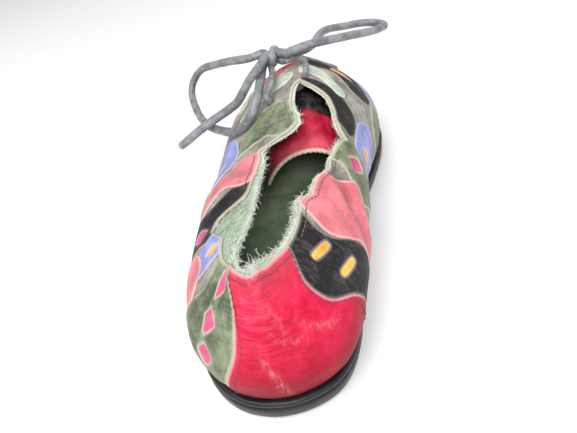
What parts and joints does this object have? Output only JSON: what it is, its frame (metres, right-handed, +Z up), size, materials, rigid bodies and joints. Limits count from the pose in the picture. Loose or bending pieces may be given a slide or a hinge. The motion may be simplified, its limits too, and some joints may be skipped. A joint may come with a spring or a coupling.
{
  "type": "lace-up flat shoe",
  "caption": "Low lace-up flat shoe, left foot: hollow patchwork leather upper on a thin black rubber sole, with a red tongue, a green insole and a tied leather lace.",
  "frame": {"origin": "on the floor under the middle of the shoe's bounding box in plan, with the free lace left out of that box", "axes": "+Z up, +Y from heel to toe, +X towards the inner (medial) side of the foot"},
  "size_m": [0.1176, 0.2508, 0.0836],
  "materials": {
    "upper_leather": "satin",
    "counter_leather": "satin",
    "tongue_leather": "satin",
    "lining": "matte",
    "insole": "matte",
    "sole_rubber": "satin",
    "lace_leather": "satin"
  },
  "bodies": {
    "root": {"outsole": "sole_rubber", "insole": "insole", "upper": "upper_leather", "tongue": "tongue_leather", "lace_bar": "lace_leather", "lace_knot": "lace_leather", "lace_loop_lateral": "lace_leather", "lace_loop_medial": "lace_leather", "lace_end_lateral": "lace_leather", "lace_end_medial": "lace_leather"}
  },
  "joints": []
}
